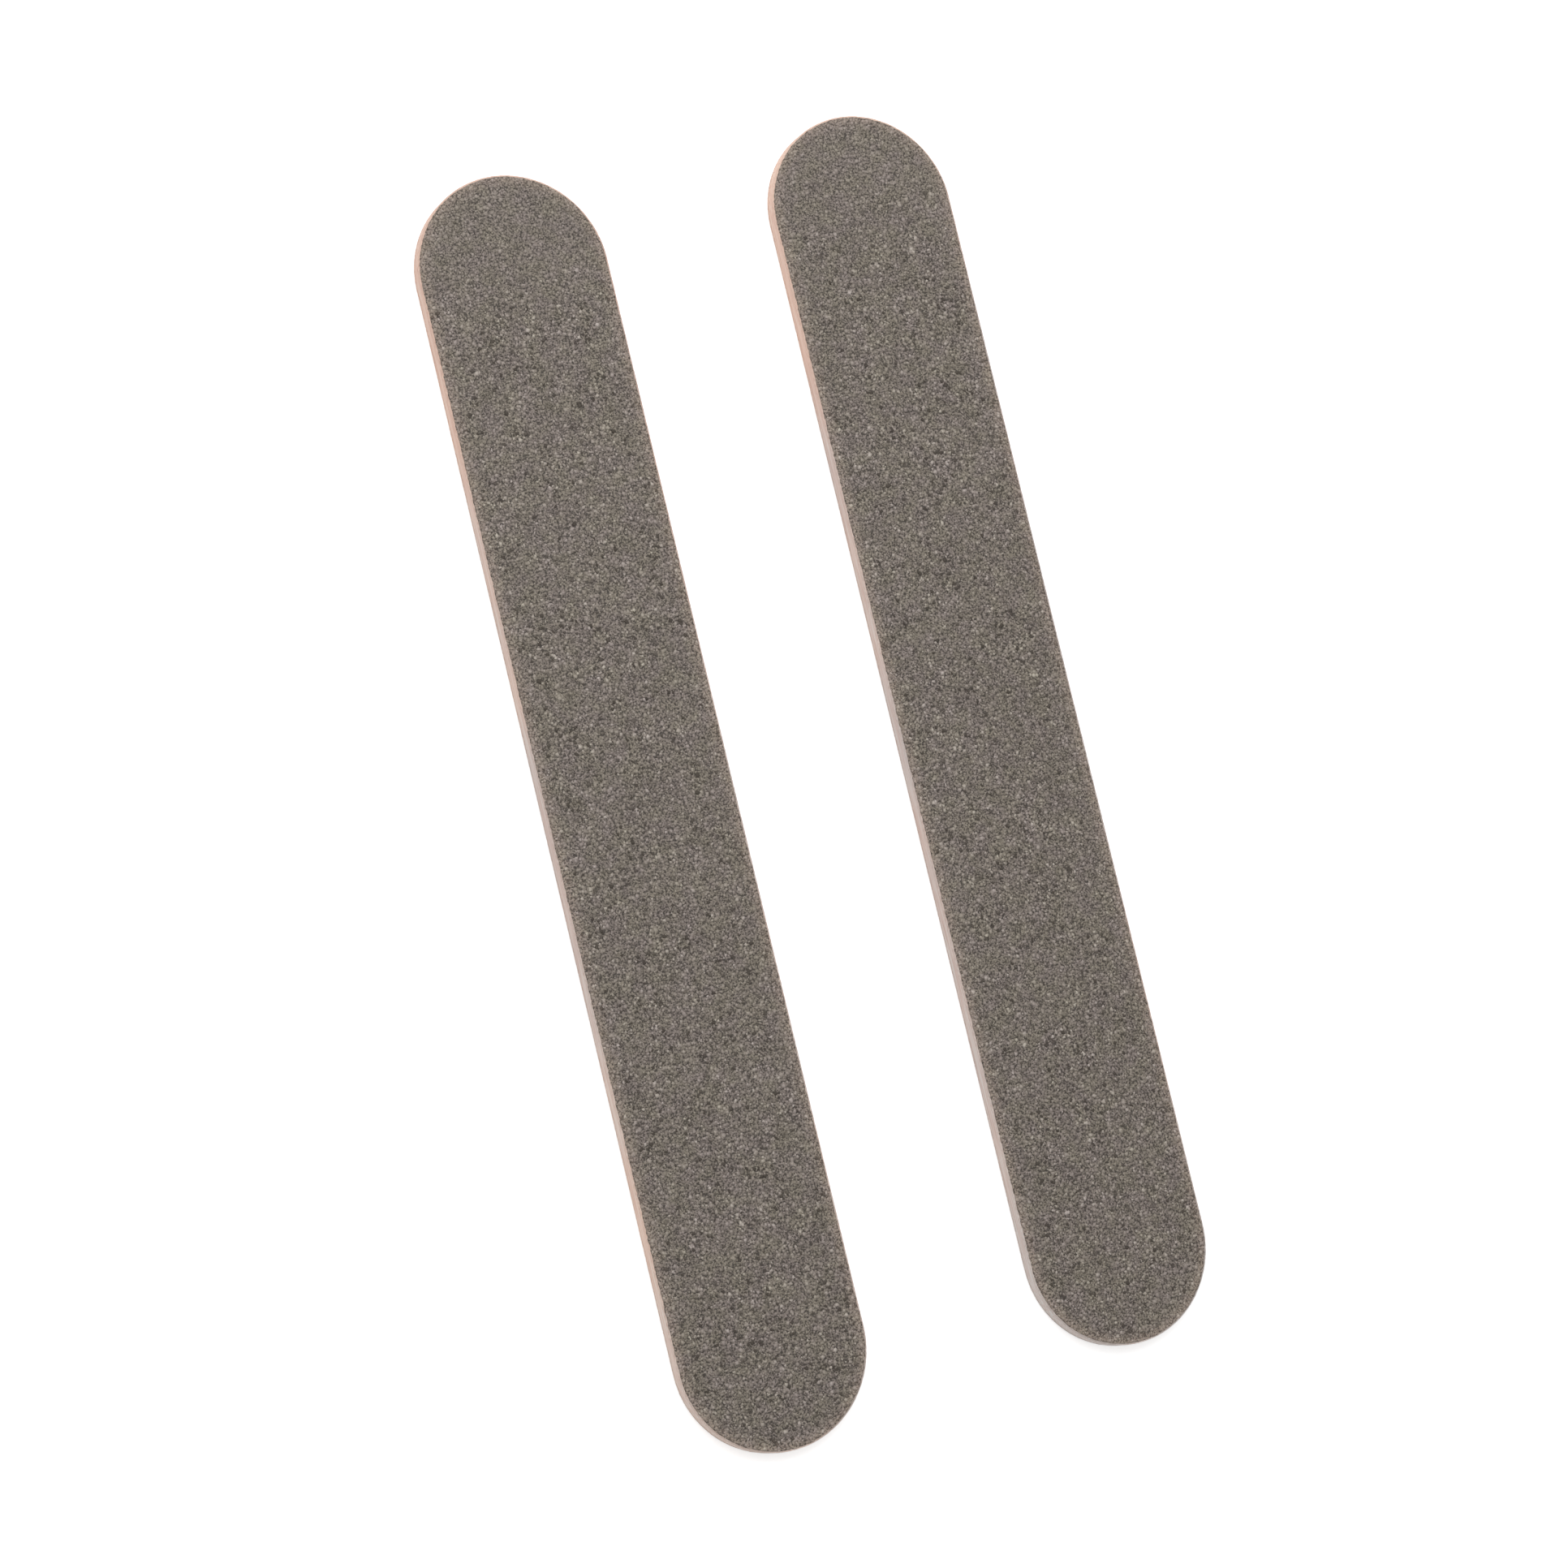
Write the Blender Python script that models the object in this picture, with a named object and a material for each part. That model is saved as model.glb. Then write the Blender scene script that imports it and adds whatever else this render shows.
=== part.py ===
"""A pair of emery boards: small nail files that lie side by side, each one free to be picked up.

A board is a laminate cut to a straight bar with half-round ends. Its core is thin pale wood, and
each face carries a film of glue, a sheet of backing paper and a coat of abrasive grit. The coarse
face is up and the fine face is down.

Metres, +Z up, +Y along the boards. The origin lies on the surface under the boards, at the middle
of the rectangle that holds them both.
"""

import math

import bpy
from mathutils import Color

MM = 0.001

# Outline of a board
BOARD_LENGTH = 82.55 * MM
BOARD_WIDTH = 12.7 * MM
END_STEPS = 32

# Thickness of each layer
CORE_THICKNESS = 0.68 * MM
GLUE_THICKNESS = 0.03 * MM
PAPER_THICKNESS = 0.10 * MM
COARSE_GRIT_THICKNESS = 0.10 * MM
FINE_GRIT_THICKNESS = 0.06 * MM

# Fits: the layers are thinner than any usual clearance, so only a hair parts one from the next,
# and the glue stops short of the cut edge
BOND_GAP = 0.01 * MM
GLUE_INSET = 0.15 * MM

# Where the boards lie: the clear space between their long edges, and how far the right one is
# pushed along past the left one
SPACE_BETWEEN = 12.09 * MM
STAGGER = 0.68 * MM

# Finish of each layer: sRGB colour out of 255, then roughness
COARSE_GRIT_FINISH = ((118, 110, 103), 0.92)
FINE_GRIT_FINISH = ((128, 120, 113), 0.88)
PAPER_FINISH = ((214, 188, 164), 0.85)
GLUE_FINISH = ((222, 200, 160), 0.45)
CORE_FINISH = ((227, 199, 176), 0.80)

# From the lower face up: name, thickness, distance in from the cut edge, finish
LAYERS = (
    ("fine_grit", FINE_GRIT_THICKNESS, 0, FINE_GRIT_FINISH),
    ("fine_paper", PAPER_THICKNESS, 0, PAPER_FINISH),
    ("fine_glue_film", GLUE_THICKNESS, GLUE_INSET, GLUE_FINISH),
    ("core", CORE_THICKNESS, 0, CORE_FINISH),
    ("coarse_glue_film", GLUE_THICKNESS, GLUE_INSET, GLUE_FINISH),
    ("coarse_paper", PAPER_THICKNESS, 0, PAPER_FINISH),
    ("coarse_grit", COARSE_GRIT_THICKNESS, 0, COARSE_GRIT_FINISH),
)

# Each board's name and the side of the origin that it lies on
BOARDS = (("left", -1), ("right", 1))


def clear_scene():
    """Remove whatever the open file holds."""
    for thing in list(bpy.data.objects):
        bpy.data.objects.remove(thing, do_unlink=True)


def linear_colour(srgb):
    """The linear colour, with full alpha, of an sRGB colour given out of 255."""
    colour = Color([value / 255 for value in srgb])
    return (*colour.from_srgb_to_scene_linear(), 1)


def make_material(name, finish):
    """A dull, non-metallic Principled material."""
    colour, roughness = finish
    material = bpy.data.materials.new(name)
    material.use_nodes = True
    shader = material.node_tree.nodes["Principled BSDF"]
    shader.inputs["Base Color"].default_value = linear_colour(colour)
    shader.inputs["Roughness"].default_value = roughness
    shader.inputs["Metallic"].default_value = 0
    material.diffuse_color = linear_colour(colour)
    return material


def board_outline(inset):
    """Points of the board's outline, drawn in by inset: a half circle at each end."""
    radius = BOARD_WIDTH / 2 - inset
    centre = (BOARD_LENGTH - BOARD_WIDTH) / 2
    points = []
    for start, middle in ((0, centre), (math.pi, -centre)):
        for step in range(END_STEPS + 1):
            angle = start + math.pi * step / END_STEPS
            points.append((radius * math.cos(angle), middle + radius * math.sin(angle)))
    return points


def make_layer_curve(name, thickness, inset, finish):
    """One sheet of the laminate: a filled flat curve, thick by thickness about its own middle."""
    curve = bpy.data.curves.new(name, "CURVE")
    curve.dimensions = "2D"
    curve.fill_mode = "BOTH"
    curve.extrude = thickness / 2
    points = board_outline(inset)
    spline = curve.splines.new("POLY")
    spline.points.add(len(points) - 1)
    for point, (x, y) in zip(spline.points, points):
        point.co = (x, y, 0, 1)
    spline.use_cyclic_u = True
    spline.use_smooth = True
    curve.materials.append(make_material(name, finish))
    return curve


def stack_heights():
    """Height of each layer's middle above the surface, from the lowest layer up."""
    heights = []
    bottom = 0
    for _, thickness, _, _ in LAYERS:
        heights.append(bottom + thickness / 2)
        bottom += thickness + BOND_GAP
    return heights


def make_board(name, side, curves, collection):
    """One whole board: its layers hang on an empty at its middle, on the surface it lies on."""
    board = bpy.data.objects.new(f"{name}_board", None)
    board.empty_display_size = BOARD_WIDTH
    spacing = BOARD_WIDTH + SPACE_BETWEEN
    board.location = (side * spacing / 2, side * STAGGER / 2, 0)
    collection.objects.link(board)
    for curve, height in zip(curves, stack_heights()):
        layer = bpy.data.objects.new(f"{name}_{curve.name}", curve)
        layer.location = (0, 0, height)
        layer.parent = board
        collection.objects.link(layer)


def make_pair():
    """Both boards, made from the same sheets."""
    collection = bpy.data.collections.new("emery_board")
    bpy.context.scene.collection.children.link(collection)
    curves = [make_layer_curve(*layer) for layer in LAYERS]
    for name, side in BOARDS:
        make_board(name, side, curves, collection)


clear_scene()
make_pair()
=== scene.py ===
# %% [markdown]
# # Two emery boards
#
# An emery board is a nail file made like plywood. A sliver of pale wood is the core, and a sheet
# of abrasive paper is glued to each face. Two of them lie side by side here, gritty face up.
#
# The model comes as seven flat sheets a board. That is right for size and fit, but up close an
# emery board is not flat at all: it is a field of tiny crushed crystals set in dull resin, with a
# torn and pressed edge where the punch went through paper and wood. This lesson builds that
# surface with numpy, one layer at a time.

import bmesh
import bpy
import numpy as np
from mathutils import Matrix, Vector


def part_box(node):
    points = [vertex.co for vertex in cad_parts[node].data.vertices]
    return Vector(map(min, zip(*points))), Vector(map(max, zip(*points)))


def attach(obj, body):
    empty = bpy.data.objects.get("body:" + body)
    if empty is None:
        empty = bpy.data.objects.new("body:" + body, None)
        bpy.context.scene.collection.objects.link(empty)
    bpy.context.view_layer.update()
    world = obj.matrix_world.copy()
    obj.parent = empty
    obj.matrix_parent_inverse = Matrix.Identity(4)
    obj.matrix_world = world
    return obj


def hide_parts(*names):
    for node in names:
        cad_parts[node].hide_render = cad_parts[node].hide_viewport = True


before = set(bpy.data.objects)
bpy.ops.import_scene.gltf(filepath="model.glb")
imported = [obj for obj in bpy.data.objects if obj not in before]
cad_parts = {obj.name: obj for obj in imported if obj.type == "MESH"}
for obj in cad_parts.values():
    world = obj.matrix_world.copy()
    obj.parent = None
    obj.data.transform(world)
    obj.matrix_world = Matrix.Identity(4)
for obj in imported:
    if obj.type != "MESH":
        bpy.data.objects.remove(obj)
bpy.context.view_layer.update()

# %% [markdown]
# ## Units
#
# Everything is in metres, so `MM` turns a size in millimetres into one.

MM = 0.001
print("nodes in the frame:", len(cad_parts))

# %% [markdown]
# ## The board's outline, read from the model
#
# A board is a straight bar with half-round ends, which needs only three measures: its centre, the
# radius of an end, and the reach from the centre to the middle of an end's circle. Reading them
# from the core's box keeps this scene right if the model is ever made longer or wider.

# %% Measure a board
SIDES = ("left", "right")


def measure_board(side):
    """Centre, end radius and reach of one board, from the box of its core."""
    low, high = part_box(f"{side}_core")
    centre = np.array([(low.x + high.x) / 2, (low.y + high.y) / 2])
    radius = (high.x - low.x) / 2
    return {"centre": centre, "radius": radius, "reach": (high.y - low.y) / 2 - radius}


def layer_heights(layer):
    """Lowest and highest z of one sheet of the laminate, which are alike on both boards."""
    low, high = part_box(f"left_{layer}")
    return low.z, high.z


boards = {side: measure_board(side) for side in SIDES}
RADIUS = boards["left"]["radius"]
REACH = boards["left"]["reach"]
print("end radius", round(RADIUS / MM, 3), "mm, reach", round(REACH / MM, 3), "mm")

# %% [markdown]
# ## Camera
#
# The place and turn of the camera were solved from the outlines of the four board ends in the
# photograph and of their visible sides: it looks down from the left with a long lens, 23 degrees
# off the vertical, and is turned so that the boards lean to the left.

# %% Place the camera
CAMERA_PLACE = (-98.96 * MM, -19.72 * MM, 235.23 * MM)
CAMERA_TURN_DEGREES = (9.597, -20.706, -14.475)
LENS_MM = 91.4
SENSOR_MM = 36
NEAREST_SEEN = 5 * MM

camera_data = bpy.data.cameras.new("camera")
camera_data.lens = LENS_MM
camera_data.sensor_width = SENSOR_MM
camera_data.clip_start = NEAREST_SEEN
camera = bpy.data.objects.new("camera", camera_data)
camera.location = CAMERA_PLACE
camera.rotation_euler = np.radians(CAMERA_TURN_DEGREES)
bpy.context.scene.collection.objects.link(camera)
bpy.context.scene.camera = camera
print("camera", round(CAMERA_PLACE[2] / MM), "mm above the floor")

# %% [markdown]
# ## Small helpers for colours and nodes
#
# Shaders work in linear light, and the first helper turns the colour numbers of an image editor
# into it. The second is for shader trees, which are long in Python when every node takes five
# lines: it adds one node, sets its properties, and links each input or gives it a constant.

# %% Colour and node helpers
GAMMA_KNEE = 0.04045
GAMMA_SLOPE = 12.92
GAMMA_SHIFT = 0.055
GAMMA_POWER = 2.4


def colour(red, green, blue):
    """A linear RGBA colour from the 0 to 255 numbers of an image editor."""
    share = np.array([red, green, blue]) / 255
    curve = ((share + GAMMA_SHIFT) / (1 + GAMMA_SHIFT)) ** GAMMA_POWER
    return (*np.where(share <= GAMMA_KNEE, share / GAMMA_SLOPE, curve), 1)


def add_node(tree, kind, inputs=None, **properties):
    """Add a node to a tree. An input that is a socket is linked, and any other is a constant."""
    node = tree.nodes.new(kind)
    for name, value in properties.items():
        setattr(node, name, value)
    for name, value in (inputs or {}).items():
        if isinstance(value, bpy.types.NodeSocket):
            tree.links.new(value, node.inputs[name])
        else:
            node.inputs[name].default_value = value
    return node


print("middle grey, 128 of 255, is", colour(128, 128, 128)[0].round(3), "in linear light")

# %% [markdown]
# ## Floor, background and light
#
# The photograph is a product shot on pure white. Floor and world look white here too, but lit as
# strongly as that the boards would wash out. So both tell rays apart: what is seen directly, in
# a reflection or through something clear is white, and what only lights the boards is weaker.

# %% What is seen directly
def math_node(tree, operation, *values):
    """A Math node on two or three values, each a socket or a number. Returns its output."""
    return add_node(tree, "ShaderNodeMath", dict(enumerate(values)), operation=operation).outputs[0]


def seen_directly(tree):
    """A socket that is 1 for rays from the camera, a reflection or a transmission, else 0."""
    path = add_node(tree, "ShaderNodeLightPath").outputs
    either = math_node(tree, "MAXIMUM", path["Is Camera Ray"], path["Is Glossy Ray"])
    return math_node(tree, "MAXIMUM", either, path["Is Transmission Ray"])


print("worlds and lamps so far:", len(bpy.data.worlds), len(bpy.data.lights))

# %% [markdown]
# The floor is a pale diffuse sheet that glows a little where it is seen, so it reaches white and
# still darkens where the boards shade it. Far off, where the lamp no longer helps, it glows more.

# %% Floor
FLOOR_SIZE = 3.0
FLOOR_WHITE = 0.88
FLOOR_GLOW = (0.47, 0.54)
GLOW_GROWS = (60 * MM, 250 * MM)


def make_floor():
    """A flat square sheet at height 0, which is the plane that the boards lie on."""
    half = FLOOR_SIZE / 2
    mesh = bpy.data.meshes.new("floor")
    mesh.from_pydata([(-half, -half, 0), (half, -half, 0), (half, half, 0), (-half, half, 0)],
                     [], [(0, 1, 2, 3)])
    floor = bpy.data.objects.new("floor", mesh)
    bpy.context.scene.collection.objects.link(floor)
    material = bpy.data.materials.new("floor_paper")
    material.use_nodes = True
    tree = material.node_tree
    tree.nodes.clear()
    paper = add_node(tree, "ShaderNodeBsdfDiffuse", {"Color": (FLOOR_WHITE,) * 3 + (1,)})
    place = add_node(tree, "ShaderNodeTexCoord").outputs["Object"]
    away = add_node(tree, "ShaderNodeVectorMath", {0: place}, operation="LENGTH")
    level = add_node(tree, "ShaderNodeMapRange", {
        "Value": away.outputs["Value"], "From Min": GLOW_GROWS[0], "From Max": GLOW_GROWS[1],
        "To Min": FLOOR_GLOW[0], "To Max": FLOOR_GLOW[1]})
    glow = math_node(tree, "MULTIPLY", seen_directly(tree), level.outputs[0])
    light = add_node(tree, "ShaderNodeEmission", {"Strength": glow})
    both = add_node(tree, "ShaderNodeAddShader",
                    {0: paper.outputs[0], 1: light.outputs[0]})
    add_node(tree, "ShaderNodeOutputMaterial", {"Surface": both.outputs[0]})
    mesh.materials.append(material)


make_floor()
print("floor", FLOOR_SIZE, "m square")

# %% [markdown]
# The world is a soft even light from all sides. One large lamp beyond the far ends adds
# direction, so that each grain has a lit side. The long sides that the camera sees catch it only
# at a grazing angle, and take most of their light from the floor and the world.

# %% World and lamp
WORLD_STRENGTH = 0.53
LAMP_SHARE = 0.50
LAMP_SIZE = 240 * MM
LAMP_DISTANCE = 260 * MM
LAMP_FROM = (-0.12, 0.55, 0.85)


def make_world():
    """A white world that looks fully white, and lights the boards with less than that."""
    world = bpy.data.worlds.new("studio")
    bpy.context.scene.world = world
    world.use_nodes = True
    tree = world.node_tree
    tree.nodes.clear()
    strength = add_node(tree, "ShaderNodeMapRange", {
        "Value": seen_directly(tree), "To Min": WORLD_STRENGTH, "To Max": 1.0})
    background = add_node(tree, "ShaderNodeBackground", {
        "Color": (1, 1, 1, 1), "Strength": strength.outputs[0]})
    add_node(tree, "ShaderNodeOutputWorld", {"Surface": background.outputs[0]})


def make_lamp():
    """A square soft lamp. A lamp of power P at distance d, with its light falling at an angle
    whose cosine is c, lights a white sheet to P c / (pi d)^2, so the power follows from a share."""
    direction = np.array(LAMP_FROM) / np.linalg.norm(LAMP_FROM)
    lamp_data = bpy.data.lights.new("softbox", "AREA")
    lamp_data.size = LAMP_SIZE
    lamp_data.energy = LAMP_SHARE * (np.pi * LAMP_DISTANCE) ** 2 / direction[2]
    lamp = bpy.data.objects.new("softbox", lamp_data)
    lamp.location = direction * LAMP_DISTANCE
    lamp.rotation_euler = Vector(direction).to_track_quat("Z", "Y").to_euler()
    lamp.visible_camera = False
    bpy.context.scene.collection.objects.link(lamp)
    return lamp


make_world()
lamp = make_lamp()
bpy.context.scene.view_settings.view_transform = "Standard"
print("lamp power", round(lamp.data.energy, 2), "W")

# %% [markdown]
# ## Noise in plain numpy
#
# Uneven surfaces need smooth random numbers that are the same each run. Value noise is the
# simplest kind: random values stand on a square lattice, and any point between them takes a
# blend of its four neighbours along an S-shaped curve.

# %% Value noise
LATTICE = 1024


def value_noise(x, y, cell, seed):
    """Smooth noise from -1 to 1 at whole arrays of points: random values on a lattice of side
    cell, blended bilinearly with the S-curve 3t^2 - 2t^3."""
    table = np.random.default_rng(seed).uniform(-1, 1, (LATTICE, LATTICE))
    u, v = np.floor(x / cell), np.floor(y / cell)
    s, t = x / cell - u, y / cell - v
    s, t = s * s * (3 - 2 * s), t * t * (3 - 2 * t)
    i, j = u.astype(int) % LATTICE, v.astype(int) % LATTICE
    after_i, after_j = (i + 1) % LATTICE, (j + 1) % LATTICE
    low = table[i, j] * (1 - s) + table[after_i, j] * s
    high = table[i, after_j] * (1 - s) + table[after_i, after_j] * s
    return low * (1 - t) + high * t


def edge_distance(x, y):
    """How far inside the outline a point is: the end radius less its distance from the line
    that joins the centres of the two end circles."""
    return RADIUS - np.hypot(x, np.maximum(np.abs(y) - REACH, 0))


print("noise sample", value_noise(np.array([0.5]), np.array([0.25]), 1, 1).round(3))

# %% [markdown]
# ## A sheet with half-round ends
#
# Core, papers and resin coats are all the same kind of solid: a sheet whose outline is two half
# circles joined by straight sides. It could be an extruded curve, but then its faces and edge
# could not be uneven. So each sheet is a section carried along the board: a ring of points that
# runs over the top, down one side, back under the bottom and up the other side. At each row the
# ring is as wide as the outline there, and at the two tips its width is nothing, which closes
# the sheet.

# %% Rows and rings
def outline_rows(radius, spacing):
    """Rows across a board. Returns y of each row, and the lean of the outline's normal there,
    which turns from -90 degrees at one tip, through 0 on the straight, to 90 at the other."""
    quarter = np.linspace(0, np.pi / 2, int(radius * np.pi / 2 / spacing) + 1)
    straight = np.linspace(-REACH, REACH, int(2 * REACH / spacing) + 1)[1:-1]
    y = np.concatenate([-REACH - radius * np.sin(quarter[::-1]), straight,
                        REACH + radius * np.sin(quarter)])
    lean = np.concatenate([-quarter[::-1], 0 * straight, quarter])
    return y, lean


def section_ring(top_columns, side_levels, bottom_columns):
    """One ring of the section. across runs from -1 to 1, and level from 0 at the bottom to 1."""
    across_top = np.linspace(-1, 1, top_columns + 1)
    across_bottom = np.linspace(1, -1, bottom_columns + 1)
    down = np.linspace(1, 0, side_levels + 1)[1:-1]
    across = np.concatenate([across_top, 0 * down + 1, across_bottom, 0 * down - 1])
    level = np.concatenate([0 * across_top + 1, down, 0 * across_bottom, down[::-1]])
    return across, level


print("rows 1 mm apart:", len(outline_rows(RADIUS, 1 * MM)[0]))
print("points in a ring of 8, 4 and 8 steps:", len(section_ring(8, 4, 8)[0]))

# %% [markdown]
# A mesh is three lists in Blender: points, face corners and faces. Each is filled with one call
# to `foreach_set`, which takes a whole array, so a hundred thousand faces are made in a moment.
# The tips of a sheet have a whole ring of points in one place, and these are merged.

# %% From arrays to an object
WELD = 0.00001 * MM


def new_object(name, points, faces, bake_map):
    """An object from whole arrays: a point a row, a face a row, and a map position a corner."""
    mesh = bpy.data.meshes.new(name)
    mesh.vertices.add(len(points))
    mesh.vertices.foreach_set("co", points.astype(np.float32).ravel())
    mesh.loops.add(faces.size)
    mesh.loops.foreach_set("vertex_index", faces.astype(np.int32).ravel())
    mesh.polygons.add(len(faces))
    starts = np.arange(0, faces.size, faces.shape[1], dtype=np.int32)
    mesh.polygons.foreach_set("loop_start", starts)
    mesh.update(calc_edges=True)
    layer = mesh.uv_layers.new(name="OFBake")
    layer.uv.foreach_set("vector", bake_map.astype(np.float32).ravel())
    made = bpy.data.objects.new(name, mesh)
    bpy.context.scene.collection.objects.link(made)
    return made


def weld(made):
    """Merge the points that meet at the tips, and drop the faces that this leaves flat."""
    work = bmesh.new()
    work.from_mesh(made.data)
    bmesh.ops.remove_doubles(work, verts=work.verts, dist=WELD)
    work.to_mesh(made.data)
    work.free()


print("points nearer than", WELD / MM, "mm become one")

# %% [markdown]
# The map of a sheet is its own grid: one way round the ring, the other way along the board. Of a
# core or a paper only the sides show, so the sides get most of the map. A resin coat shows its
# face instead, so it will be made with a small share for its sides.

# %% Make a sheet
SIDE_MAP_SHARE = 0.3


def ring_map(across, level, side_share):
    """Where each point of a ring lies on the map, from 0 to 1, and the end of the ring at 1.
    Steps on a side share side_share of the map, and steps on the top and bottom share the rest."""
    step_across = np.abs(np.diff(across, append=across[0])) / 2
    step_level = np.abs(np.diff(level, append=level[0]))
    steps = step_across * (1 - 2 * side_share) / 2 + step_level * side_share
    return np.concatenate([[0], np.cumsum(steps)]) / steps.sum()


def make_sheet(name, side, low, high, push, inset, spacing, ring, side_share=SIDE_MAP_SHARE):
    """A closed sheet. low and high give its bottom and top height at any (x, y) of the board,
    and push moves its rim outwards, at any (x, y) and level. A point of the ring stands at
    x = across * radius * cos(lean) in its row, at a height blended from low to high by level."""
    radius = RADIUS - inset
    along, lean = outline_rows(radius, spacing)
    across, level = section_ring(*ring)
    x = radius * np.cos(lean)[:, None] * across
    y = np.repeat(along[:, None], len(across), axis=1)
    bottom, top = low(x, y), high(x, y)
    z = bottom + (top - bottom) * level
    out = np.where(np.abs(across) == 1, push(x, y, level), 0)
    x = x + out * np.cos(lean)[:, None] * across
    y = y + out * np.sin(lean)[:, None]
    centre = boards[side]["centre"]
    points = np.stack([x + centre[0], y + centre[1], z], axis=2).reshape(-1, 3)

    rows, ring_size = x.shape
    j, k = np.meshgrid(np.arange(rows - 1), np.arange(ring_size), indexing="ij")
    after = (k + 1) % ring_size
    corners = [(j, k), (j, after), (j + 1, after), (j + 1, k)]
    faces = np.stack([a * ring_size + b for a, b in corners], axis=2).reshape(-1, 4)
    round_ring = ring_map(across, level, side_share)
    u = np.stack([round_ring[k], round_ring[k + 1], round_ring[k + 1], round_ring[k]], axis=2)
    v = np.stack([j, j, j + 1, j + 1], axis=2) / (rows - 1)
    made = new_object(name, points, faces, np.stack([u, v], axis=3))
    weld(made)
    made.data.shade_smooth()
    return made


print("each side of a core or paper takes", SIDE_MAP_SHARE, "of its map")

# %% [markdown]
# ## The wooden core
#
# The core is a sliver of pale peach wood. The punch that cut it out pressed its upper and lower
# corners round and left fine upright scratches on its side. Both are a push of the rim: a slow
# bulge that is largest half way up, and noise that depends on the place but not on the height:
# quick for the scratches, and slow for a slight wave along the side.

# %% Core surface
CORE_BULGE = 0.012 * MM
CORE_SCRATCH = 0.006 * MM
CORE_SCRATCH_CELL = 0.11 * MM
CORE_SCRATCH_SEED = 11
CORE_WAVE = 0.012 * MM
CORE_WAVE_CELL = 2.3 * MM
CORE_WAVE_SEED = 12
CORE_INSET = 0.014 * MM
CORE_SPACING = 0.15 * MM
CORE_RING = (8, 8, 8)
RIM_PRESS = 0.026 * MM
RIM_PRESS_WIDTH = 0.12 * MM


def near_rim(x, y, width):
    """1 on the outline, and 0 from width inside it: a straight ramp, squared."""
    return np.clip(1 - edge_distance(x, y) / width, 0, 1) ** 2


def make_core(side):
    """The core of one board, from the lower paper to the upper one."""
    bottom, top = layer_heights("core")

    def push(x, y, level):
        bulge = CORE_BULGE * (4 * level * (1 - level))
        scratch = CORE_SCRATCH * value_noise(x, y, CORE_SCRATCH_CELL, CORE_SCRATCH_SEED)
        wave = CORE_WAVE * value_noise(x, y, CORE_WAVE_CELL, CORE_WAVE_SEED)
        return bulge + scratch + wave

    return make_sheet(
        f"{side}_core_wood", side,
        low=lambda x, y: bottom - RIM_PRESS * near_rim(x, y, RIM_PRESS_WIDTH),
        high=lambda x, y: top + RIM_PRESS * near_rim(x, y, RIM_PRESS_WIDTH),
        push=push, inset=CORE_INSET, spacing=CORE_SPACING, ring=CORE_RING)


cores = {side: make_core(side) for side in SIDES}
for side, core in cores.items():
    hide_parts(f"{side}_core")
    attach(core, f"{side}_board")
    print(core.name, len(core.data.polygons), "faces")

# %% [markdown]
# ## The backing papers
#
# Each sheet of grit has a paper behind it. Only its cut edge shows, as a thin line above and
# below the wood, a little fuzzy with torn fibres. It is the same kind of sheet as the core, with
# a finer and rougher push. Near the rim the punch pressed paper and wood together, which closes
# the glue line there.

# %% Papers
FACES = ("coarse", "fine")
UP = {"coarse": 1, "fine": -1}
PAPER_FUZZ = 0.010 * MM
PAPER_FUZZ_CELL = 0.07 * MM
PAPER_FUZZ_SLANT = (3, -1)
PAPER_FUZZ_SEED = {"coarse": 51, "fine": 17}
PAPER_SPACING = 0.12 * MM
PAPER_RING = (6, 4, 6)
PAPER_INSET = 0.004 * MM
COAT_SEAT = 0.008 * MM


def make_paper(side, face):
    """One backing paper. Its fuzz is noise read at a point that slides by so many cells in x and
    y from the bottom of the edge to its top, so a fibre seems to run aslant."""
    up = UP[face]
    bottom, top = layer_heights(f"{face}_paper")
    glue_side, coat_side = (bottom, top) if up == 1 else (top, bottom)

    def push(x, y, level):
        slide_x, slide_y = (level * PAPER_FUZZ_CELL * cells for cells in PAPER_FUZZ_SLANT)
        seed = PAPER_FUZZ_SEED[face]
        return PAPER_FUZZ * value_noise(x + slide_x, y + slide_y, PAPER_FUZZ_CELL, seed)

    def towards_glue(x, y):
        return glue_side - up * RIM_PRESS * near_rim(x, y, RIM_PRESS_WIDTH)

    def towards_coat(x, y):
        return coat_side + up * COAT_SEAT + 0 * x

    low, high = (towards_glue, towards_coat) if up == 1 else (towards_coat, towards_glue)
    return make_sheet(f"{side}_{face}_backing", side, low, high, push,
                      inset=PAPER_INSET, spacing=PAPER_SPACING, ring=PAPER_RING)


papers = {(side, face): make_paper(side, face) for side in SIDES for face in FACES}
for (side, face), paper in papers.items():
    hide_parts(f"{side}_{face}_paper")
    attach(paper, f"{side}_board")
print("papers", len(papers))

# %% [markdown]
# ## The resin that holds the grit
#
# On the paper lies a coat of resin. It is nowhere quite even, so its surface rolls on two scales,
# and it thins out at the rim, where the coat broke as the board was punched. It has many more
# points across the board than the other sheets, because it shows all over between the grains.

# %% Resin coats
RESIN_SPACING = 0.17 * MM
RESIN_RING = (74, 2, 4)
RESIN_INSET = 0.100 * MM
RESIN_RAGGED = 0.035 * MM
RESIN_RAGGED_CELL = 0.16 * MM
RESIN_RAGGED_SEED = {"coarse": 34, "fine": 32}
RESIN_THIN_RIM = 0.25 * MM
RESIN_FILL_SHARE = {"coarse": 0.44, "fine": 0.38}
RESIN_ROLL_SHARE = 0.12
RESIN_ROLLS = ({"cell": 1.1 * MM, "seed": 31}, {"cell": 0.24 * MM, "seed": 32})
RESIN_SIDE_MAP_SHARE = 0.02


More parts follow.
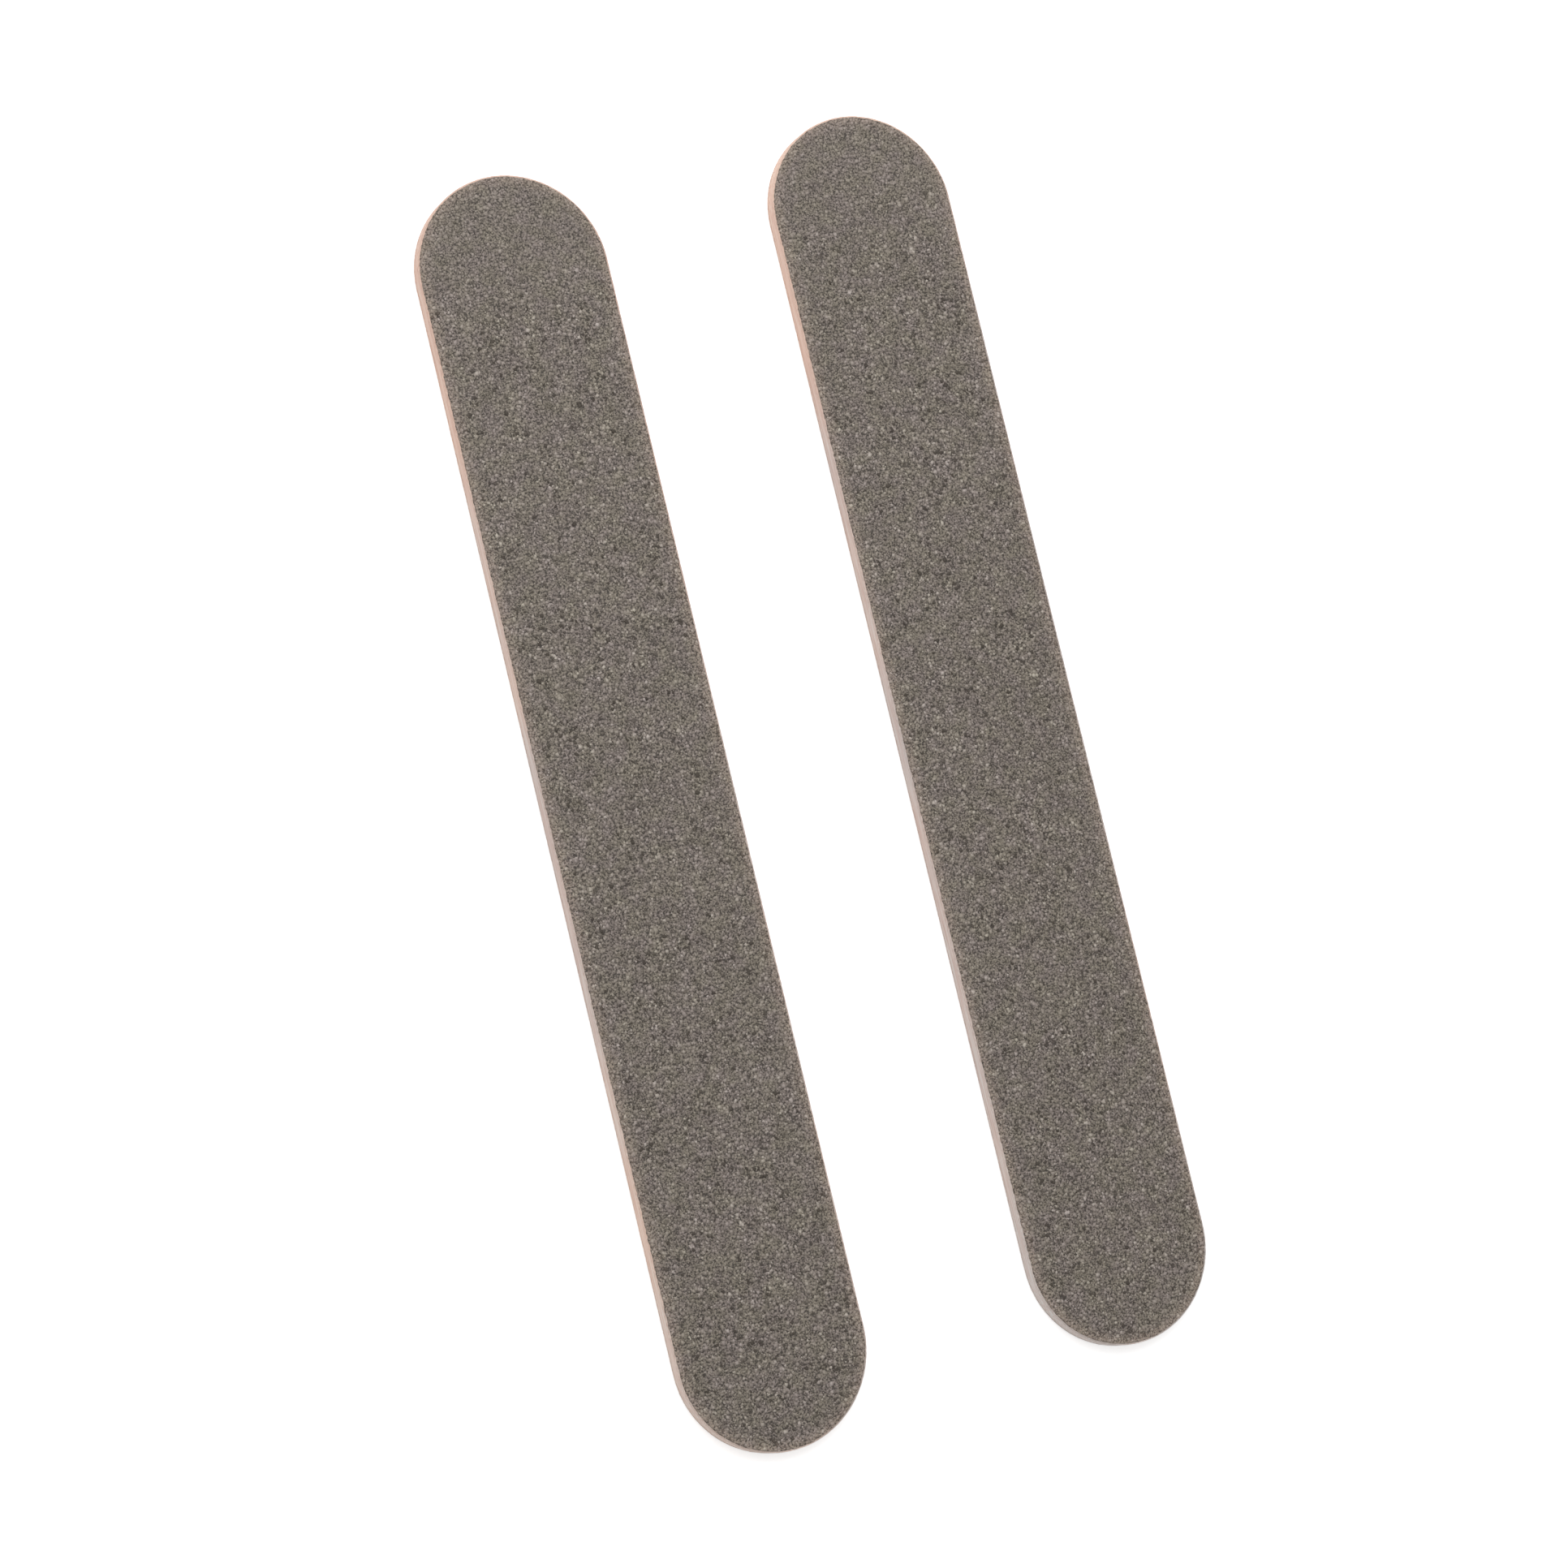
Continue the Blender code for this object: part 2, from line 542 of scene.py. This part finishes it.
def coat_thickness(face):
    """Thickness of the whole coat of grit and resin on one face."""
    bottom, top = layer_heights(f"{face}_grit")
    return top - bottom


def resin_depth(x, y, face):
    """Depth of the resin over the paper: a share of the coat, with slow and quick rolls, which
    goes down to half of that share at the rim."""
    rolls = sum(value_noise(x, y, **roll) for roll in RESIN_ROLLS) / len(RESIN_ROLLS)
    depth = coat_thickness(face) * (RESIN_FILL_SHARE[face] + RESIN_ROLL_SHARE * rolls)
    return depth * (1 - near_rim(x, y, RESIN_THIN_RIM) / 2)


def make_resin(side, face):
    """The resin coat of one face, standing on its paper."""
    up = UP[face]
    bottom, top = layer_heights(f"{face}_grit")
    seat = bottom if up == 1 else top

    def push(x, y, level):
        return RESIN_RAGGED * value_noise(x, y, RESIN_RAGGED_CELL, RESIN_RAGGED_SEED[face])

    def surface(x, y):
        return seat + up * resin_depth(x, y, face)

    def underside(x, y):
        return seat + 0 * x

    low, high = (underside, surface) if up == 1 else (surface, underside)
    ring = RESIN_RING if up == 1 else RESIN_RING[::-1]
    return make_sheet(f"{side}_{face}_resin", side, low, high, push,
                      inset=RESIN_INSET, spacing=RESIN_SPACING, ring=ring,
                      side_share=RESIN_SIDE_MAP_SHARE)


resins = {(side, face): make_resin(side, face) for side in SIDES for face in FACES}
for (side, face), resin in resins.items():
    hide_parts(f"{side}_{face}_grit")
    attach(resin, f"{side}_board")
    print(resin.name, len(resin.data.polygons), "faces")

# %% [markdown]
# ## The grains
#
# The grit is crushed mineral: sharp, uneven little wedges, about a fifth of a millimetre apart
# on the coarse face and closer on the fine one. A bump map would look right only from above, so
# every grain is modelled. Each is a pyramid with a crooked base sunk in the resin and a point
# that leans its own way. With a base of four corners it costs six triangles, so a face can hold
# tens of thousands.
#
# The grains stand on a staggered grid, each moved at random by part of a step, because real
# grains are spread evenly but never in rows.

# %% Where the grains stand
ROW_PITCH_SHARE = np.sqrt(3) / 2


def grain_places(pitch, stray_share, margin, generator):
    """Staggered grid of points inside the outline, each strayed by a share of the pitch."""
    length, width = REACH + RADIUS, RADIUS
    rows = np.arange(-length, length, pitch * ROW_PITCH_SHARE)
    columns = np.arange(-width, width, pitch)
    x, y = np.meshgrid(columns, rows)
    x = x + (np.arange(len(rows)) % 2)[:, None] * pitch / 2
    x = x + generator.uniform(-stray_share, stray_share, x.shape) * pitch
    y = y + generator.uniform(-stray_share, stray_share, y.shape) * pitch
    inside = edge_distance(x, y) > margin
    return x[inside], y[inside]


test_places = grain_places(1 * MM, 0.5, 0, np.random.default_rng(0))
print("places 1 mm apart on a board:", len(test_places[0]))

# %% [markdown]
# The punch that cuts a board out also cuts the grains on its rim. A point that would stand
# beyond the rim of the coat is drawn back onto it, towards the middle line of the board, and
# that leaves the grains there sheared off.
#
# A grain's base has its corners at even angles, turned and strayed, each at its own distance.
# The faces of all grains are one pattern of corner numbers, repeated with an offset. The base
# faces come first and the slopes last, so that the slopes win where a flat map lays them over
# the base.

# %% The shape of a grain
GRAIN_TURN_STRAY = 0.35
GRAIN_RADIUS_SHARES = (0.60, 1.35)
GRAIN_LEAN_SHARE = 0.50
SMALLEST_REACH = 1e-9


def drawn_in(x, y, margin):
    """Points no nearer to the outline than margin. A point's offset from the middle line is
    shortened to the end radius less margin, where it is longer than that."""
    middle = np.clip(y, -REACH, REACH)
    reach = np.hypot(x, y - middle)
    shorter = np.minimum(1, (RADIUS - margin) / np.maximum(reach, SMALLEST_REACH))
    return x * shorter, middle + (y - middle) * shorter


def grain_points(x, y, floor, tip, radius, corners, generator):
    """Points of every grain, grain by grain: corners of the base, then the tip. A corner stands
    at (x + r cos a, y + r sin a), with its own angle a and distance r."""
    count = len(x)
    turn = generator.uniform(0, 2 * np.pi, (count, 1))
    stray = generator.uniform(-GRAIN_TURN_STRAY, GRAIN_TURN_STRAY, (count, corners))
    angle = turn + stray + 2 * np.pi * np.arange(corners) / corners
    reach = radius[:, None] * generator.uniform(*GRAIN_RADIUS_SHARES, (count, corners))
    lean = radius[:, None] * generator.uniform(-GRAIN_LEAN_SHARE, GRAIN_LEAN_SHARE, (count, 2))
    points = np.empty((count, corners + 1, 3))
    points[:, :corners, 0] = x[:, None] + reach * np.cos(angle)
    points[:, :corners, 1] = y[:, None] + reach * np.sin(angle)
    points[:, :corners, 2] = floor[:, None]
    points[:, corners, 0] = x + lean[:, 0]
    points[:, corners, 1] = y + lean[:, 1]
    points[:, corners, 2] = tip
    points[..., 0], points[..., 1] = drawn_in(points[..., 0], points[..., 1], RESIN_INSET)
    return points


def grain_faces(count, corners, up):
    """Triangles of every grain: first all bases, as fans, then all slopes."""
    fan = np.arange(1, corners - 1)
    base = np.stack([0 * fan, fan + 1, fan], axis=1)
    ring = np.arange(corners)
    slope = np.stack([ring, (ring + 1) % corners, 0 * ring + corners], axis=1)
    offset = (np.arange(count) * (corners + 1))[:, None, None]
    faces = np.concatenate([(base + offset).reshape(-1, 3), (slope + offset).reshape(-1, 3)])
    return faces if up == 1 else faces[:, ::-1]


print("triangles in a grain of four corners:", len(grain_faces(1, 4, 1)))

# %% [markdown]
# The map of the grains lays the board out in strips side by side, seen from above, so that the
# long thin board fills the square. A whole grain goes to the strip that its middle lies in.

# %% Map of the grains
MAP_STRIPS = 3
MAP_MARGIN_SHARE = 0.02


def strip_map(points, faces, x, y):
    """Position on the map of each corner of each face: the board cut in strips along y."""
    length, width = 2 * (REACH + RADIUS), 2 * RADIUS
    grain = faces[:, 0] // points.shape[1]
    strip = np.clip(((y / length + 0.5) * MAP_STRIPS).astype(int), 0, MAP_STRIPS - 1)[grain]
    corner = points.reshape(-1, 3)[faces]
    across = corner[..., 0] / width + 0.5
    along = (corner[..., 1] / length + 0.5) * MAP_STRIPS - strip[:, None]
    room = 1 - 2 * MAP_MARGIN_SHARE
    u = (strip[:, None] + MAP_MARGIN_SHARE + room * across) / MAP_STRIPS
    v = MAP_MARGIN_SHARE + room * along
    return np.stack([u, v], axis=2).clip(0, 1)


print("strips on the map:", MAP_STRIPS)

# %% [markdown]
# The two kinds of grit differ only in numbers: the pitch of the grid they stand on, the corners
# and the radius of a middling grain, the spread of that radius from grain to grain, the drop of
# their tips below the top of the coat, and the seed of their random numbers. In both kinds a
# size or a drop is at most so many spreads from the middling one, and a grain is sunk in the
# resin by a share of its depth.

# %% Two kinds of grit
GRAIN = {
    "coarse": {"pitch": 0.225 * MM, "corners": 4, "radius": 0.150 * MM, "spread": 0.28,
               "drop": 0.034 * MM, "seed": 101},
    "fine": {"pitch": 0.158 * MM, "corners": 3, "radius": 0.114 * MM, "spread": 0.24,
             "drop": 0.018 * MM, "seed": 202},
}
GRAIN_STRAY_SHARE = 0.50
GRAIN_MARGIN = 0.10 * MM
GRAIN_SPREADS_LIMIT = 1.5
GRAIN_SINK_SHARE = 0.3
for face, kind in GRAIN.items():
    print(face, "grains stand", round(kind["pitch"] / MM, 3), "mm apart")

# %% [markdown]
# Two grains in three have a middling tone, one in ten is very dark, and one in twenty is very
# pale. Real grit lies in patches, some even and some lively, so a slow noise widens or narrows
# the spread of tones from place to place, and a quick one lets neighbours share a tone. The far
# tips look more even in the photograph than all the rest, so the spread narrows there too.

# %% The tones of the grains
TONE_SHARES = (0, 0.10, 0.20, 0.85, 0.95, 1)
TONES = (0, 0.04, 0.34, 0.66, 0.83, 0.92)
MIDDLE_TONE = 0.5
PATCH_CELL = 1.1 * MM
PATCH_SHARE = 0.35
CLUSTER_CELL = 0.42 * MM
CLUSTER_SHARE = 0.16
EVEN_TIP_SHARE = 0.60
EVEN_TIP_RUN = (5.5 * MM, 8.5 * MM)


def grain_tones(x, y, kind, generator):
    """A tone for each grain: middle + (drawn - middle) * lively + what its neighbours share. The
    far tip's evenness fades out over a run of distances from the tip."""
    lively = 1 + PATCH_SHARE * value_noise(x, y, PATCH_CELL, kind["seed"])
    to_tip = REACH + RADIUS - y
    lively = lively * (1 - EVEN_TIP_SHARE * np.interp(to_tip, EVEN_TIP_RUN, (1, 0)))
    drawn = np.interp(generator.random(len(x)), TONE_SHARES, TONES)
    shared = CLUSTER_SHARE * value_noise(x, y, CLUSTER_CELL, kind["seed"] + 1)
    return MIDDLE_TONE + (drawn - MIDDLE_TONE) * lively + shared


test_tones = grain_tones(*test_places, GRAIN["coarse"], np.random.default_rng(0))
print("tones run from", test_tones.min().round(2), "to", test_tones.max().round(2))

# %% [markdown]
# Where the punch cut through, the coat is paler: dust from wood and paper clings near the rim. So
# each point needs a second number, which says how near it is to the rim. Both numbers are
# attributes on the points of a mesh.

# %% Values that a material can read
RIM_DUST_WIDTH = 0.56 * MM


def set_attribute(made, name, values):
    """Store one number for each point of an object, under a name that a material can read."""
    attribute = made.data.attributes.new(name, "FLOAT", "POINT")
    attribute.data.foreach_set("value", values.astype(np.float32))


def mark_rim(made, side):
    """Store how near each point is to the rim: 1 on it, falling inwards as half a bell curve."""
    place = np.empty(len(made.data.vertices) * 3, np.float32)
    made.data.vertices.foreach_get("co", place)
    x, y = (place.reshape(-1, 3)[:, :2] - boards[side]["centre"]).T
    set_attribute(made, "rim", np.exp(-(edge_distance(x, y) / RIM_DUST_WIDTH) ** 2))


print("dust reaches", round(RIM_DUST_WIDTH / MM, 2), "mm in from the rim")

# %% [markdown]
# Now there is all that a face of grains needs. It becomes one object, which rides on its board.
# The resin coats get the rim's number too, because their finish shows the same dust.

# %% Make the grains of one face
def make_grains(side, face):
    """All grains of one face as one object. With normal numbers n and m a grain's radius is the
    middling one times exp(spread * n), and its tip is drop * |m| short of the top of the coat."""
    kind, up = GRAIN[face], UP[face]
    generator = np.random.default_rng(kind["seed"] + SIDES.index(side))
    x, y = grain_places(kind["pitch"], GRAIN_STRAY_SHARE, GRAIN_MARGIN, generator)
    count = len(x)
    size = generator.normal(0, 1, count).clip(-GRAIN_SPREADS_LIMIT, GRAIN_SPREADS_LIMIT)
    radius = kind["radius"] * np.exp(kind["spread"] * size)
    bottom, top = layer_heights(f"{face}_grit")
    seat, limit = (bottom, top) if up == 1 else (top, bottom)
    floor = seat + up * resin_depth(x, y, face) * (1 - GRAIN_SINK_SHARE)
    fall = np.abs(generator.normal(0, 1, count)).clip(0, GRAIN_SPREADS_LIMIT)
    tip = limit - up * kind["drop"] * fall
    points = grain_points(x, y, floor, tip, radius, kind["corners"], generator)
    faces = grain_faces(count, kind["corners"], up)
    bake_map = strip_map(points, faces, x, y)
    points[..., :2] += boards[side]["centre"]
    made = new_object(f"{side}_{face}_grains", points.reshape(-1, 3), faces, bake_map)
    tones = grain_tones(x, y, kind, generator)
    set_attribute(made, "tone", np.repeat(tones, kind["corners"] + 1))
    mark_rim(made, side)
    return made


grains = {(side, face): make_grains(side, face) for side in SIDES for face in FACES}
for (side, face), made in grains.items():
    mark_rim(resins[side, face], side)
    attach(made, f"{side}_board")
    print(made.name, len(made.data.polygons), "triangles")

# %% [markdown]
# ## Finishes
#
# Two patterns serve several finishes, so each is a node group: a speckle that is even in all
# directions, and a fibre pattern that is drawn out along the board.

# %% Shared patterns
FINE_NOISE = {"Detail": 3.0, "Roughness": 0.6}
DRIFT_NOISE = {"Detail": 2.0}
FIBRE_NOISE = {"Detail": 4.0, "Roughness": 0.55}


def new_group(name, inputs, outputs):
    """An empty shader group with named float or vector inputs and float outputs. Returns it, the
    sockets of its input node, and its output node."""
    group = bpy.data.node_groups.new(name, "ShaderNodeTree")
    for label, kind in inputs.items():
        group.interface.new_socket(label, in_out="INPUT", socket_type=kind)
    for label in outputs:
        group.interface.new_socket(label, in_out="OUTPUT", socket_type="NodeSocketFloat")
    return group, group.nodes.new("NodeGroupInput").outputs, group.nodes.new("NodeGroupOutput")


def make_speckle_group():
    """Two noises, each from about 0 to 1: a fine one for speckle, and a slow one for drift."""
    group, given, out = new_group(
        "speckle", {"Vector": "NodeSocketVector", "Fine Scale": "NodeSocketFloat",
                    "Drift Scale": "NodeSocketFloat"}, ("Speckle", "Drift"))
    fine = add_node(group, "ShaderNodeTexNoise", {
        "Vector": given["Vector"], "Scale": given["Fine Scale"], **FINE_NOISE})
    drift = add_node(group, "ShaderNodeTexNoise", {
        "Vector": given["Vector"], "Scale": given["Drift Scale"], **DRIFT_NOISE})
    group.links.new(fine.outputs[0], out.inputs["Speckle"])
    group.links.new(drift.outputs[0], out.inputs["Drift"])
    return group


def make_fibre_group():
    """Noise drawn out along y by Stretch, which runs as fibres on a side and as dots on an end."""
    group, given, out = new_group(
        "fibres", {"Vector": "NodeSocketVector", "Scale": "NodeSocketFloat",
                   "Stretch": "NodeSocketFloat"}, ("Fibres",))
    squeeze = math_node(group, "DIVIDE", 1.0, given["Stretch"])
    scale = add_node(group, "ShaderNodeCombineXYZ", {"X": 1.0, "Y": squeeze, "Z": 1.0})
    drawn = add_node(group, "ShaderNodeVectorMath", {0: given["Vector"], 1: scale.outputs[0]},
                     operation="MULTIPLY")
    noise = add_node(group, "ShaderNodeTexNoise", {
        "Vector": drawn.outputs[0], "Scale": given["Scale"], **FIBRE_NOISE})
    group.links.new(noise.outputs[0], out.inputs["Fibres"])
    return group


speckle_group = make_speckle_group()
fibre_group = make_fibre_group()
print("groups:", speckle_group.name, fibre_group.name)

# %% [markdown]
# Every finish below is a small tree of nodes around one Principled shader, made of a few steps:
# start the tree, place a pattern at a size in metres, turn its value into a colour with a ramp,
# and for some turn it into a fine relief with a bump. Each step is a helper here, so that a
# finish is only the lines that make it what it is.

# %% Helpers for materials
def start_material(name, roughness):
    """A new material: its tree, its Principled shader and the object coordinates."""
    material = bpy.data.materials.new(name)
    material.use_nodes = True
    tree = material.node_tree
    shader = tree.nodes["Principled BSDF"]
    shader.inputs["Roughness"].default_value = roughness
    place = add_node(tree, "ShaderNodeTexCoord").outputs["Object"]
    return material, tree, shader, place


def add_ramp(tree, value, stops):
    """A colour ramp through the given (position, colour) stops."""
    ramp = add_node(tree, "ShaderNodeValToRGB", {"Fac": value})
    elements = ramp.color_ramp.elements
    stops = list(stops)
    while len(elements) < len(stops):
        elements.new(1.0)
    for element, (position, stop) in zip(elements, stops):
        element.position = position
        element.color = stop
    return ramp.outputs["Color"]


def add_bump(tree, shader, height, depth):
    """Bump of the given depth, in metres, from a height of 0 to 1."""
    bump = add_node(tree, "ShaderNodeBump", {"Height": height, "Distance": depth})
    tree.links.new(bump.outputs[0], shader.inputs["Normal"])


def add_speckle(tree, place, fine, drift):
    """The speckle group, with the size in metres of its fine grain and of its slow drift."""
    return add_node(tree, "ShaderNodeGroup", node_tree=speckle_group, inputs={
        "Vector": place, "Fine Scale": 1 / fine, "Drift Scale": 1 / drift}).outputs


def mix_colours(tree, blend, factor, first, second):
    """A colour Mix node: the sockets of its colour version are found by their type."""
    mix = add_node(tree, "ShaderNodeMix", data_type="RGBA", blend_type=blend)
    slots = [mix.inputs["Factor"]] + [socket for socket in mix.inputs if socket.type == "RGBA"]
    for socket, value in zip(slots, (factor, first, second)):
        if isinstance(value, bpy.types.NodeSocket):
            tree.links.new(value, socket)
        else:
            socket.default_value = value
    return [socket for socket in mix.outputs if socket.type == "RGBA"][0]


print("materials so far:", len(bpy.data.materials))

# %% [markdown]
# ### Tint and dust
#
# Nothing here is one even colour. The grit leans to olive in one place and to violet in the next,
# and the wood and paper are peach here and grey there, and paler here and darker there, over a
# much longer way. Each of these is a slow noise through a ramp of two weak tints, which the base
# colour is multiplied by. The paler and darker tint of wood and paper is partly painted light: its
# slope along the board paints the near ends paler and the far ends darker, against the fall-off of
# the lamp that stands beyond the far ends. In the photograph the sides are warmest at the far ends
# and greyest at the near end of the right board, and palest at the near end of the left one. So
# the noise of the sides gets a slope along or across the pair, and is read at an offset, in a part
# of the endless pattern where its ups and downs fall much as they do there.
#
# Pale dust from the punch sits near the rim, and not as an even band but in flecks, so the same
# noise that speckles the coat decides where it lies.

# %% Tint and dust
GRIT_TINT = {"cell": 1.3 * MM, "offset": (0, 0, 0), "slope": (0, 0, 0),
             "stops": ((0.36, (1.0, 1.0, 0.93, 1)), (0.64, (1.0, 0.965, 1.0, 1)))}
BLOTCH_NOISE = {"Detail": 3.0}
RIM_DUST = 0.50
DUST_CONTRAST = 3.0
DUST_COLOUR = colour(200, 178, 162)


def tinted(tree, place, base, cell, offset, slope, stops):
    """The base colour times a slow blotchy tint. A ramp takes the tint from noise of a cell size,
    read at an offset from the place, plus a slope: so much more for each metre along x, y and z."""
    elsewhere = add_node(tree, "ShaderNodeVectorMath", {0: place, 1: offset}, operation="ADD")
    blotches = add_node(tree, "ShaderNodeTexNoise", {
        "Vector": elsewhere.outputs[0], "Scale": 1 / cell, **BLOTCH_NOISE})
    rise = add_node(tree, "ShaderNodeVectorMath", {0: place, 1: slope}, operation="DOT_PRODUCT")
    value = math_node(tree, "ADD", blotches.outputs[0], rise.outputs["Value"])
    return mix_colours(tree, "MULTIPLY", 1.0, base, add_ramp(tree, value, stops))


def dusted(tree, base, unevenness):
    """The base colour with pale dust near the rim, in flecks where the unevenness is high."""
    rim = add_node(tree, "ShaderNodeAttribute", attribute_name="rim").outputs["Fac"]
    flecks = add_node(tree, "ShaderNodeMath", operation="MULTIPLY_ADD", use_clamp=True, inputs={
        0: unevenness, 1: DUST_CONTRAST, 2: (1 - DUST_CONTRAST) / 2}).outputs[0]
    share = math_node(tree, "MULTIPLY", math_node(tree, "MULTIPLY", rim, flecks), RIM_DUST)
    return mix_colours(tree, "MIX", share, base, DUST_COLOUR)


print("dust covers at most", RIM_DUST, "of the rim")

# %% [markdown]
# ### Grains
#
# The tone of a grain is its own attribute, plus a little noise inside it, plus a slow drift over
# the board. A colour ramp turns the sum into warm greys. Pale grains are clear crystal with
# smooth faces, so the paler a grain is, the glossier it gets.

# %% Grain finish
GRAIN_SPECKLE_CELL = 0.09 * MM
GRAIN_DRIFT_CELL = 2.6 * MM
GRAIN_SPECKLE_SHARE = 0.3
GRAIN_ROUGHNESS = (0.80, 0.45)


def make_grain_finish(face, stops, drift_share):
    """The finish of the grains of one face: tone, drift and speckle, through a ramp. Both noises
    lie around 0.5, so half of each one's share is taken off, which keeps the sum on the tone."""
    material, tree, shader, place = start_material(f"{face}_grain", GRAIN_ROUGHNESS[0])
    tone = add_node(tree, "ShaderNodeAttribute", attribute_name="tone").outputs["Fac"]
    noise = add_speckle(tree, place, GRAIN_SPECKLE_CELL, GRAIN_DRIFT_CELL)
    drifting = math_node(tree, "MULTIPLY_ADD", noise["Drift"], drift_share, tone)
    speckled = math_node(tree, "MULTIPLY_ADD", noise["Speckle"], GRAIN_SPECKLE_SHARE, drifting)
    centred = math_node(tree, "SUBTRACT", speckled, (GRAIN_SPECKLE_SHARE + drift_share) / 2)
    base = tinted(tree, place, add_ramp(tree, centred, stops), **GRIT_TINT)
    tree.links.new(dusted(tree, base, noise["Speckle"]), shader.inputs["Base Color"])
    gloss = add_node(tree, "ShaderNodeMapRange", {
        "Value": tone, "To Min": GRAIN_ROUGHNESS[0], "To Max": GRAIN_ROUGHNESS[1]})
    tree.links.new(gloss.outputs[0], shader.inputs["Roughness"])
    return material


grain_finish = {
    "coarse": make_grain_finish("coarse", (
        (0.0, colour(68, 61, 54)), (0.3, colour(125, 117, 109)), (0.5, colour(144, 135, 127)),
        (0.7, colour(155, 146, 138)), (1.0, colour(182, 174, 165))), drift_share=0.20),
    "fine": make_grain_finish("fine", (
        (0.0, colour(80, 73, 66)), (0.3, colour(129, 121, 113)), (0.5, colour(144, 135, 127)),
        (0.7, colour(154, 145, 137)), (1.0, colour(180, 172, 163))), drift_share=0.16),
}
for (side, face), made in grains.items():
    made.data.materials.append(grain_finish[face])
print("grain finishes:", [finish.name for finish in grain_finish.values()])

# %% [markdown]
# ### Resin
#
# The resin between the grains is a dull brown, darker than they are, with fine dust in it. It
# shows as the dark pits in the field of grains, and it is paler near the rim, as they are.

# %% Resin finish
RESIN_STOPS = (0.42, 0.60)
RESIN_SPECKLE_CELL = 0.12 * MM
RESIN_DRIFT_CELL = 1.7 * MM
RESIN_BUMP = 0.012 * MM
RESIN_ROUGHNESS = 0.7


def make_resin_finish(face, dark, pale):
    """The finish of the resin coat of one face: speckle, through a ramp of two colours."""
    material, tree, shader, place = start_material(f"{face}_resin", RESIN_ROUGHNESS)
    noise = add_speckle(tree, place, RESIN_SPECKLE_CELL, RESIN_DRIFT_CELL)
    greys = add_ramp(tree, noise["Speckle"], zip(RESIN_STOPS, (dark, pale)))
    base = tinted(tree, place, greys, **GRIT_TINT)
    tree.links.new(dusted(tree, base, noise["Speckle"]), shader.inputs["Base Color"])
    add_bump(tree, shader, noise["Speckle"], RESIN_BUMP)
    return material


resin_finish = {
    "coarse": make_resin_finish("coarse", dark=colour(54, 48, 42), pale=colour(137, 128, 119)),
    "fine": make_resin_finish("fine", dark=colour(66, 59, 53), pale=colour(140, 131, 122)),
}
for (side, face), made in resins.items():
    made.data.materials.append(resin_finish[face])
print("resin finishes:", [finish.name for finish in resin_finish.values()])

# %% [markdown]
# ### Wood and paper
#
# Both are made of fibres that lie along the board. On the long sides the same pattern shows as
# streaks, and round the ends as dots, as on real end grain. Wood has long and wide fibres, and
# paper has short and thin ones, so one recipe with two sets of numbers makes both.

# %% Wood and paper finishes
PEACH_TINT = {"cell": 24 * MM, "offset": (-0.475, 0.613, 1.5), "slope": (-2, 3, 0),
              "stops": ((0.36, (0.838, 1.0, 1.0, 1)), (0.64, (1.0, 0.99, 0.876, 1)))}
# Paleness tint, partly painted light: its slope along y paints the near ends paler and the far ends
# darker, against the lamp's fall-off.
PALENESS_AND_PAINTED_LIGHT_TINT = {"cell": 24 * MM, "offset": (-0.275, -0.275, 0.9), "slope": (0, 1.5, 0),
              "stops": ((0.36, (1.0, 1.0, 1.0, 1)), (0.64, (0.913, 0.888, 0.893, 1)))}


def make_fibre_finish(name, roughness, width, stretch, depth, stops):
    """A dull finish coloured and roughened by fibres of a width, stretch times as long."""
    material, tree, shader, place = start_material(name, roughness)
    fibres = add_node(tree, "ShaderNodeGroup", node_tree=fibre_group, inputs={
        "Vector": place, "Scale": 1 / width, "Stretch": stretch}).outputs["Fibres"]
    peachy = tinted(tree, place, add_ramp(tree, fibres, stops), **PEACH_TINT)
    # Painted light: this second tint paints the near ends of wood and paper paler than the far
    # ends.
    base = tinted(tree, place, peachy, **PALENESS_AND_PAINTED_LIGHT_TINT)
    tree.links.new(base, shader.inputs["Base Color"])
    add_bump(tree, shader, fibres, depth)
    return material


wood_finish = make_fibre_finish(
    "pale_wood", roughness=0.75, width=0.10 * MM, stretch=28, depth=0.014 * MM, stops=(
        (0.30, colour(225, 187, 177)), (0.5, colour(246, 214, 207)), (0.72, colour(252, 236, 232))))
paper_finish = make_fibre_finish(
    "backing_paper", roughness=0.85, width=0.05 * MM, stretch=5, depth=0.010 * MM, stops=(
        (0.30, colour(223, 187, 178)), (0.7, colour(252, 226, 220))))
for core in cores.values():
    core.data.materials.append(wood_finish)
for paper in papers.values():
    paper.data.materials.append(paper_finish)
print("fibre finishes:", wood_finish.name, paper_finish.name)

# %% [markdown]
# ### Glue
#
# The two glue films are sealed inside each board and hardly show. They keep the model's own
# sheets, and only get a finish: a satin skin of honey colours.

# %% Glue finish
GLUE_SPECKLE_CELL = 0.3 * MM
GLUE_DRIFT_CELL = 4 * MM
GLUE_ROUGHNESS = 0.45
GLUE_STOPS = ((0.3, colour(206, 176, 128)), (0.7, colour(230, 208, 168)))


def make_glue_finish():
    """Dried glue: honey-coloured, satin, a little blotchy."""
    material, tree, shader, place = start_material("dried_glue", GLUE_ROUGHNESS)
    noise = add_speckle(tree, place, GLUE_SPECKLE_CELL, GLUE_DRIFT_CELL)
    tree.links.new(add_ramp(tree, noise["Drift"], GLUE_STOPS), shader.inputs["Base Color"])
    return material


glue_finish = make_glue_finish()
for side in SIDES:
    for face in FACES:
        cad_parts[f"{side}_{face}_glue_film"].material_slots[0].material = glue_finish
print("glue finish:", glue_finish.name)
